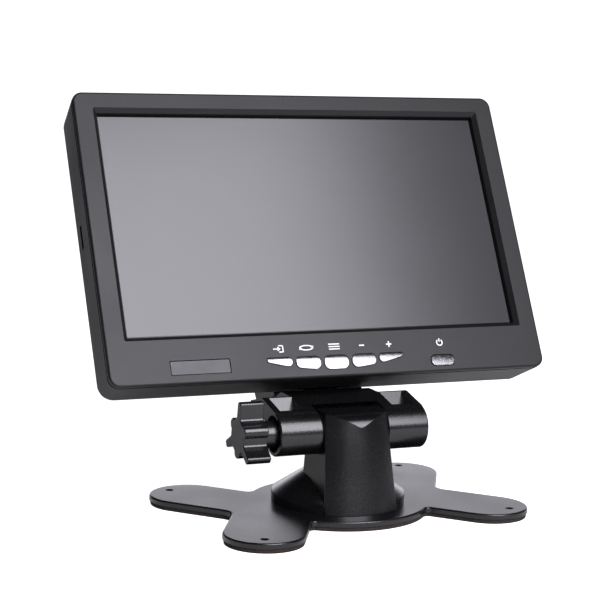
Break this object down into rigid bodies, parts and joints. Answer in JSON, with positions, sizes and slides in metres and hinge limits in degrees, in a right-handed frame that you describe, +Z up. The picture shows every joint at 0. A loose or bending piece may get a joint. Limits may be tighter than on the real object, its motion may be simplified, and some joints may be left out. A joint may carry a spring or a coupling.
{
  "type": "dashboard monitor",
  "caption": "Seven-inch widescreen rear-view monitor on a butterfly-footed dashboard stand that swivels, tilts and clamps with a star knob.",
  "frame": {"origin": "centre of the four screw holes on the foam pad's underside, on the swivel axis", "axes": "+Z up from the dashboard, +X along the row of the wider screw spacing, the screen faces -Y; at rest the column is swivelled 6.67 degrees clockwise from above and the screen leans back 27.74 degrees"},
  "size_m": [0.1787, 0.1243, 0.1497],
  "materials": {
    "black_abs": "satin moulded ABS",
    "bezel_abs": "fine-textured moulded ABS",
    "foam": "foam tape",
    "nylon": "natural nylon",
    "black_nylon": "black nylon",
    "steel": "zinc plated",
    "dark_steel": "black zinc",
    "rubber": "matte",
    "screen": "anti-glare polariser",
    "acrylic": "clear, printed dots",
    "ribbon": "polyimide",
    "board": "solder mask",
    "chip": "moulded epoxy",
    "smoke": "infrared-clear polycarbonate",
    "key_silver": "silver lacquer"
  },
  "bodies": {
    "base": {"base_plate": "black_abs", "foam_pad": "foam", "swivel_ring": "nylon"},
    "stem": {"stem": "black_abs", "swivel_screw": "steel", "swivel_washer": "steel"},
    "yoke": {"yoke": "black_abs", "hinge_nut": "steel", "left_friction_washer": "black_nylon", "right_friction_washer": "black_nylon"},
    "clamp": {"thrust_washer": "steel"},
    "knob": {"star_knob": "black_abs", "hinge_bolt": "steel"},
    "monitor": {"front_bezel": "bezel_abs", "rear_cover": "bezel_abs", "cable_grommet": "rubber", "lcd_glass": "screen", "light_guide": "acrylic", "lcd_frame": "steel", "backlight_strip": "board", "display_ribbon": "ribbon", "main_board": "board", "board_chips": "chip", "board_screws": "steel", "cover_screws": "dark_steel", "key_board": "board", "tact_switches": "chip", "ir_window": "smoke", "ir_receiver": "chip", "speaker": "chip"},
    "button_input": {"button_input": "key_silver"},
    "button_source": {"button_source": "key_silver"},
    "button_menu": {"button_menu": "key_silver"},
    "button_minus": {"button_minus": "key_silver"},
    "button_plus": {"button_plus": "key_silver"},
    "button_power": {"button_power": "key_silver"}
  },
  "joints": [
    {"name": "swivel", "type": "hinge", "parent": "base", "child": "stem", "pos_m": [0, 0, 0], "axis": [0, 0, 1], "continuous": true},
    {"name": "tilt", "type": "hinge", "parent": "stem", "child": "yoke", "pos_m": [-0.00083, -0.0071, 0.03117], "axis": [-0.9932, 0.1162, 0], "range_deg": [-42.7, 32.2]},
    {"name": "clamp_travel", "type": "slide", "parent": "yoke", "child": "clamp", "axis": [-0.9932, 0.1162, 0], "range_m": [0, 0.0024]},
    {"name": "knob_turn", "type": "hinge", "parent": "clamp", "child": "knob", "pos_m": [-0.00083, -0.0071, 0.03117], "axis": [-0.9932, 0.1162, 0], "range_deg": [0, 1080]},
    {"name": "monitor_lift", "type": "slide", "parent": "yoke", "child": "monitor", "axis": [0.0541, 0.4623, 0.8851], "range_m": [0, 0.034]},
    {"name": "press_input", "type": "slide", "parent": "monitor", "child": "button_input", "axis": [0.1028, 0.8791, -0.4655], "range_m": [0, 0.0006], "stiffness_N_per_m": 2500},
    {"name": "press_source", "type": "slide", "parent": "monitor", "child": "button_source", "axis": [0.1028, 0.8791, -0.4655], "range_m": [0, 0.0006], "stiffness_N_per_m": 2500},
    {"name": "press_menu", "type": "slide", "parent": "monitor", "child": "button_menu", "axis": [0.1028, 0.8791, -0.4655], "range_m": [0, 0.0006], "stiffness_N_per_m": 2500},
    {"name": "press_minus", "type": "slide", "parent": "monitor", "child": "button_minus", "axis": [0.1028, 0.8791, -0.4655], "range_m": [0, 0.0006], "stiffness_N_per_m": 2500},
    {"name": "press_plus", "type": "slide", "parent": "monitor", "child": "button_plus", "axis": [0.1028, 0.8791, -0.4655], "range_m": [0, 0.0006], "stiffness_N_per_m": 2500},
    {"name": "press_power", "type": "slide", "parent": "monitor", "child": "button_power", "axis": [0.1028, 0.8791, -0.4655], "range_m": [0, 0.0006], "stiffness_N_per_m": 2500}
  ],
  "couplings": [
    {"joint": "knob_turn", "follows": "clamp_travel", "rad_per_m": 7854}
  ]
}
